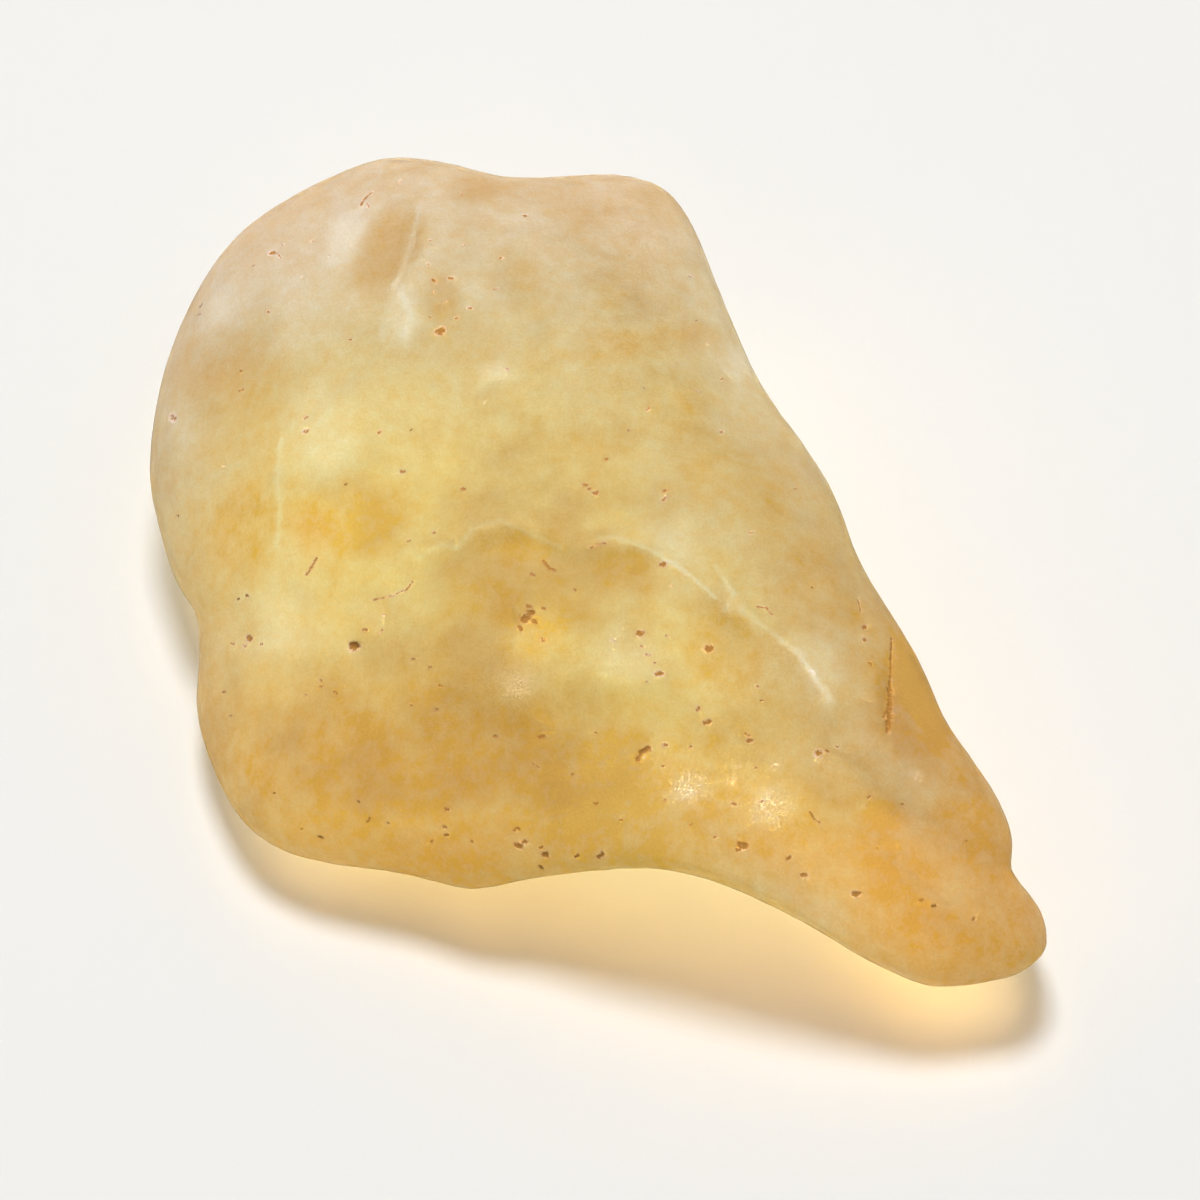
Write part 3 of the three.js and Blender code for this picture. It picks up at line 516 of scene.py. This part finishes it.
def skin_tone(points, upper):
    """Paleness of the skin at each point: above 0 on worn ridges and in the painted sheen on the rear
    and the upper edges, below 0 in golden hollows.
    """
    places = seen(points)
    tone = np.zeros(len(points))
    for patch in PALE_WEAR_AND_SHEEN.values():
        tone += patch_strength(places, patch)
    for patch in GOLDEN.values():
        tone -= patch_strength(places, patch)
    wobble = 1 + 0.5 * cloud(points, 0.5, 2, 13.0)
    for line, width, strength in PALE_LINES:
        flat_line = [np.array(place) for place in line]
        away = line_distance(places, flat_line) * wobble / width
        tone += strength * np.exp(-(away**2))
    return tone * upper + 0.3 * cloud(points, 2.6, 4) + 0.25 * cloud(points, 0.9, 3, 5.0)


def skin_tint(points, upper):
    """Hue of the skin at each point: above 0 it turns peach, and below 0 olive."""
    places = seen(points)
    tint = sum(patch_strength(places, patch) for patch in PEACH.values())
    tint -= sum(patch_strength(places, patch) for patch in OLIVE.values())
    return tint * upper + 0.35 * cloud(points, 3.0, 4, 21.0)


# ---------------------------------------------------------------- the lump
WAVE_HEIGHT = 0.020  # millimetres, of the waves, the worn ridges and the bruised flecks
RIDGE_HEIGHT = 0.015
FLECK_HEIGHT = 0.012


def mark_fields(points, marks):
    """How deep each point sinks into its marks, and how dark it is stained."""
    depth = np.zeros(len(points))
    stain = np.zeros(len(points))
    wobble = 1 + 0.35 * cloud(points, 0.22, 2, 3.0)
    near = slab_finder(points)
    for line, radius, deepest, darkness in marks:
        some = near(line, 4 * radius)
        away = line_distance(points[some], line) * wobble[some] / radius
        depth[some] = np.maximum(depth[some], deepest * np.exp(-(away**3)))
        core = np.exp(-(away**2.5))
        halo = np.exp(-((away / 2.2) ** 2))
        stain[some] = np.maximum(stain[some], darkness * (0.75 * core + 0.25 * halo))
    return depth, stain


def fleck_field(points, tree):
    """How strongly the white flecks cover each point."""
    cover = np.zeros(len(points))
    for right, up, radius, strength in FLECKS:
        line = on_surface(tree, [(right, up)])
        if line:
            away = line_distance(points, line) / radius
            cover = np.maximum(cover, strength * np.exp(-(away**2)))
    return cover


def add_field(mesh, name, values):
    """Stores one number per corner of the mesh for the material."""
    attribute = mesh.attributes.new(name, "FLOAT", "POINT")
    attribute.data.foreach_set("value", values.astype(np.float32))


def make_mesh(points, triangles):
    """A smooth-shaded Blender mesh from points in millimetres."""
    mesh = bpy.data.meshes.new("glass_skin")
    mesh.vertices.add(len(points))
    mesh.vertices.foreach_set("co", (points * MM).ravel())
    mesh.loops.add(len(triangles) * 3)
    mesh.loops.foreach_set("vertex_index", triangles.ravel().astype(np.int32))
    mesh.polygons.add(len(triangles))
    mesh.polygons.foreach_set("loop_start", np.arange(0, len(triangles) * 3, 3, dtype=np.int32))
    mesh.update(calc_edges=True)
    mesh.validate()
    mesh.shade_smooth()
    return mesh


def make_lump(material):
    """The visible lump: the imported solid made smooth, then pitted and worn."""
    points, triangles = packed_surface()
    tree = BVHTree.FromPolygons(points.tolist(), triangles.tolist())
    marks = placed_marks(tree) + scattered_pores(points, triangles, SCATTERED)
    ridges = [(on_surface(tree, line), width, 0, 0) for line, width, _ in PALE_LINES]
    limit = fine_edge_limit(marks + ridges)
    for _ in range(ROUNDS):
        points, triangles = split_long_edges(points, triangles, limit)
    normals = corner_normals(points, triangles)
    upper = np.clip(normals @ toward_camera() * 3 + 0.6, 0, 1)  # 1 where the camera can see it
    depth, stain = mark_fields(points, marks)
    tone = skin_tone(points, upper)
    tint = skin_tint(points, upper)
    white = fleck_field(points, tree)
    waves = WAVE_HEIGHT * cloud(points, 1.1, 3, 9.0) + RIDGE_HEIGHT * tone * upper
    waves += FLECK_HEIGHT * white * cloud(points, 0.12, 2, 11.0)
    moved = points + normals * (waves - depth)[:, None]
    base = points[:, 2] < 1e-4
    moved[base] = points[base]
    low, high = np.array(cad_low) / MM, np.array(cad_high) / MM
    moved = np.clip(moved, low, high)
    mesh = make_mesh(moved, triangles)
    add_field(mesh, "tone", tone)
    add_field(mesh, "tint", tint)
    # Painted light: where the skin faces the floor it is given a paler yellow colour, which lightens
    # the shade on the underside.
    away = np.clip(1 - 8 * normals @ toward_camera(), 0, 1)
    under = away * np.clip(-0.5 - 1.5 * normals[:, 2], 0, 1)  # 1 where it faces the floor
    add_field(mesh, "under", under)
    add_field(mesh, "stain", stain)
    add_field(mesh, "white", white)
    mesh.materials.append(material)
    lump = bpy.data.objects.new("glass_skin", mesh)
    bpy.context.collection.objects.link(lump)
    return lump


# ---------------------------------------------------------------- materials
# The skin's colours tint the light that passes through it.
GOLD = (0.70, 0.36, 0.055, 1)
# CREAM is the pale of the worn ridges, and also of the painted sheen on the rear and the upper edges.
CREAM = (0.84, 0.77, 0.85, 1)
PEACH_COLOUR = (1.0, 0.88, 0.80, 1)
OLIVE_COLOUR = (0.60, 0.47, 0.40, 1)
# Painted light for the underside where it faces the floor: paler than the gold, to lighten its shade.
PAINTED_UNDERSIDE_LIGHT = (0.80, 0.72, 0.44, 1)
GRAIN_COLOUR = (0.86, 0.83, 0.72, 1)
PORE_BROWN = (0.17, 0.078, 0.014, 1)
FLECK_WHITE = (0.72, 0.58, 0.40, 1)
ABSORPTION = (0.945, 0.995, 0.885, 1)
ABSORPTION_DENSITY = 160.0
TONE_RANGE = (-0.95, 1.25)
WORN_AND_SHEEN_RANGE = (0, 1.3)
MOTTLE_RANGE = (-0.35, 0.35)
CLEARNESS = (0.94, 0.86)
IOR = 1.46
ROUGHNESS = 0.8
SPECULAR_LEVEL = 0.1  # low, so that the pores stay dark
BUMP_STRENGTH = 0.5
BUMP_HEIGHT = 0.00004

# Sizes of the noises' lumps in millimetres.
MOTTLE_SIZE = 0.7
GRAIN_SIZE = 0.12
PORE_BORDER_SIZE = 0.12
CHIP_SIZE = 0.09
FROST_SIZE = 0.11

NOISE_SPREAD = (0.3, 0.7)  # where most of a noise's values lie
PORE_BREAKS = (0.5, 1.4)
PORE_FADE = (0.10, 0.6)
CHIP_FADE = (0.50, 0.60)
CHIP_CLEARNESS = 0.3


def new_node(tree, kind, **settings):
    """A shader node with these settings."""
    node = tree.nodes.new(kind)
    for name, value in settings.items():
        setattr(node, name, value)
    return node


def field(tree, name):
    """The socket of one of the mesh's stored fields."""
    return new_node(tree, "ShaderNodeAttribute", attribute_name=name).outputs["Fac"]


def remapped(tree, value, from_range, to_range):
    """A socket that carries one range of values over to another, and holds its ends."""
    node = new_node(tree, "ShaderNodeMapRange")
    node.inputs["From Min"].default_value, node.inputs["From Max"].default_value = from_range
    node.inputs["To Min"].default_value, node.inputs["To Max"].default_value = to_range
    tree.links.new(value, node.inputs["Value"])
    return node.outputs["Result"]


def blended(tree, share, low, high, blend="MIX"):
    """A colour socket that goes from low to high, each a socket or a colour, with share."""
    node = new_node(tree, "ShaderNodeMix", data_type="RGBA", blend_type=blend)
    for value, name in ((share, "Factor"), (low, "A"), (high, "B")):
        socket = next(s for s in node.inputs if s.name == name and s.enabled)
        if isinstance(value, bpy.types.NodeSocket):
            tree.links.new(value, socket)
        else:
            socket.default_value = value
    return next(s for s in node.outputs if s.enabled)


def noise_value(tree, size, detail, roughness=0.5):
    """A noise socket whose lumps are about this many millimetres across."""
    place = new_node(tree, "ShaderNodeTexCoord")
    node = new_node(tree, "ShaderNodeTexNoise")
    node.inputs["Scale"].default_value = 1 / (size * MM)
    node.inputs["Detail"].default_value = detail
    node.inputs["Roughness"].default_value = roughness
    tree.links.new(place.outputs["Object"], node.inputs["Vector"])
    return node.outputs["Fac"]


def combined(tree, operation, *values):
    """The socket of several values added or multiplied together."""
    result = values[0]
    for value in values[1:]:
        node = new_node(tree, "ShaderNodeMath", operation=operation)
        tree.links.new(result, node.inputs[0])
        tree.links.new(value, node.inputs[1])
        result = node.outputs[0]
    return result


def pore_dirt(tree):
    """How brown the pores are, from 0 to 1, with ragged borders."""
    breaks = remapped(tree, noise_value(tree, PORE_BORDER_SIZE, 1), NOISE_SPREAD, PORE_BREAKS)
    return remapped(tree, combined(tree, "MULTIPLY", field(tree, "stain"), breaks), PORE_FADE, (0, 1))


def white_chips(tree):
    """How white the bruises are, from 0 to 1, in small grains."""
    grains = remapped(tree, noise_value(tree, CHIP_SIZE, 1), CHIP_FADE, (0, 1))
    return combined(tree, "MULTIPLY", field(tree, "white"), grains)


def skin_colour(tree, dirt, chips):
    """Gold hollows, cream ridges, peach and olive patches, brown pores and white flecks, with painted
    sheen on the rear and painted light on the underside.
    """
    mottle = remapped(tree, noise_value(tree, MOTTLE_SIZE, 2, 0.7), NOISE_SPREAD, MOTTLE_RANGE)
    # Gold to cream by the tone, which holds the worn ridges and also the painted sheen on the rear and
    # the upper edges.
    share = remapped(tree, combined(tree, "ADD", field(tree, "tone"), mottle), TONE_RANGE, (0, 1))
    colour = blended(tree, share, GOLD, CREAM)
    peach = remapped(tree, field(tree, "tint"), (0, 1), (0, 1))
    olive = remapped(tree, field(tree, "tint"), (0, -1), (0, 1))
    colour = blended(tree, peach, colour, PEACH_COLOUR, "MULTIPLY")
    colour = blended(tree, olive, colour, OLIVE_COLOUR, "MULTIPLY")
    grain = remapped(tree, noise_value(tree, GRAIN_SIZE, 1, 0.7), NOISE_SPREAD, (1, 0))
    colour = blended(tree, grain, colour, GRAIN_COLOUR, "MULTIPLY")
    # Painted light: the skin that faces the floor is blended toward a paler yellow.
    colour = blended(tree, field(tree, "under"), colour, PAINTED_UNDERSIDE_LIGHT)
    colour = blended(tree, dirt, colour, PORE_BROWN)
    return blended(tree, chips, colour, FLECK_WHITE)


def glass_material():
    """Frosted yellow silica glass: see-through, with brown pores and white bruises."""
    material = bpy.data.materials.new("desert_glass")
    material.use_nodes = True
    tree = material.node_tree
    tree.nodes.clear()
    link = tree.links.new
    shader = new_node(tree, "ShaderNodeBsdfPrincipled")
    output = new_node(tree, "ShaderNodeOutputMaterial")
    link(shader.outputs["BSDF"], output.inputs["Surface"])
    shader.inputs["IOR"].default_value = IOR
    shader.inputs["Specular IOR Level"].default_value = SPECULAR_LEVEL
    shader.inputs["Roughness"].default_value = ROUGHNESS

    dirt = pore_dirt(tree)
    chips = white_chips(tree)
    link(skin_colour(tree, dirt, chips), shader.inputs["Base Color"])
    clear = remapped(tree, field(tree, "tone"), WORN_AND_SHEEN_RANGE, CLEARNESS)
    clean = remapped(tree, dirt, (0, 1), (1, 0))
    whole = remapped(tree, chips, (0, 1), (1, CHIP_CLEARNESS))
    clearness = combined(tree, "MULTIPLY", clear, clean, whole)
    link(clearness, shader.inputs["Transmission Weight"])

    volume = new_node(tree, "ShaderNodeVolumeAbsorption")
    volume.inputs["Color"].default_value = ABSORPTION
    volume.inputs["Density"].default_value = ABSORPTION_DENSITY
    link(volume.outputs["Volume"], output.inputs["Volume"])

    bump = new_node(tree, "ShaderNodeBump")
    bump.inputs["Strength"].default_value = BUMP_STRENGTH
    bump.inputs["Distance"].default_value = BUMP_HEIGHT
    link(noise_value(tree, FROST_SIZE, 1, 0.6), bump.inputs["Height"])
    link(bump.outputs["Normal"], shader.inputs["Normal"])
    return material


FLOOR_WHITE = (0.82, 0.81, 0.79, 1)
FLOOR_ROUGHNESS = 0.9


def floor_material():
    """Matt white paper."""
    material = bpy.data.materials.new("floor")
    material.use_nodes = True
    shader = material.node_tree.nodes["Principled BSDF"]
    shader.inputs["Base Color"].default_value = FLOOR_WHITE
    shader.inputs["Roughness"].default_value = FLOOR_ROUGHNESS
    shader.inputs["Specular IOR Level"].default_value = SPECULAR_LEVEL
    return material


# ---------------------------------------------------------------- stage, in metres
FLOOR_HALF = 2.5
FLOOR_GAP = 0.00002  # the floor lies this far below the lump's flat base
BOX_DISTANCE = 0.50

# Soft boxes: lean from the vertical and turn from the rear in degrees, width in metres, watts.
KEY = (6.6, -20, 0.15, 1.85)
LUMP_LIGHTS = {
    "back": (18, 0, 0.15, 3.5),
    "front": (60, 180, 0.30, 1.15),
    "side": (60, -110, 0.30, 1.2),
}
SKY_LEVEL = 0.37


def make_floor():
    """The pale sheet that the lump rests on."""
    mesh = bpy.data.meshes.new("floor")
    corners = ((-1, -1), (1, -1), (1, 1), (-1, 1))
    places = [(x * FLOOR_HALF, y * FLOOR_HALF, -FLOOR_GAP) for x, y in corners]
    mesh.from_pydata(places, [], [(0, 1, 2, 3)])
    mesh.materials.append(floor_material())
    floor = bpy.data.objects.new("floor", mesh)
    bpy.context.collection.objects.link(floor)


def soft_box(name, lean, turn, width, power):
    """A round soft light that shines on the lump."""
    data = bpy.data.lights.new(name, "AREA")
    data.shape = "DISK"
    data.size = width
    data.energy = power
    light = bpy.data.objects.new(name, data)
    lean, turn = math.radians(lean), math.radians(turn)
    side = Vector((math.sin(turn), math.cos(turn), 0)) * math.sin(lean)
    light.location = (side + Vector((0, 0, math.cos(lean)))) * BOX_DISTANCE
    light.rotation_euler = (-light.location).to_track_quat("-Z", "Y").to_euler()
    bpy.context.collection.objects.link(light)
    return light


def make_lights(lump):
    """A key overhead, three lights that reach the lump alone, and an even white surround."""
    soft_box("key", *KEY)
    lump_alone = bpy.data.collections.new("lump_alone")
    lump_alone.objects.link(lump)
    for name, place in LUMP_LIGHTS.items():
        light = soft_box(name, *place)
        light.light_linking.receiver_collection = lump_alone
    world = bpy.data.worlds.new("surround")
    world.use_nodes = True
    background = world.node_tree.nodes["Background"]
    background.inputs["Color"].default_value = (1.0, 1.0, 1.0, 1)
    background.inputs["Strength"].default_value = SKY_LEVEL
    bpy.context.scene.world = world


def set_look():
    """Plain colour handling, and enough bounces for light inside the glass.

    With four lights, the light tree only slows the render down.
    """
    scene = bpy.context.scene
    scene.view_settings.view_transform = "Standard"
    scene.view_settings.look = "None"
    scene.cycles.max_bounces = 10
    scene.cycles.diffuse_bounces = 4
    scene.cycles.glossy_bounces = 4
    scene.cycles.transmission_bounces = 10
    scene.cycles.use_light_tree = False
    scene.cycles.use_denoising = True


make_camera()
lump = make_lump(glass_material())
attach(lump, "root")
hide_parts("desert_glass")
make_floor()
make_lights(lump)
set_look()
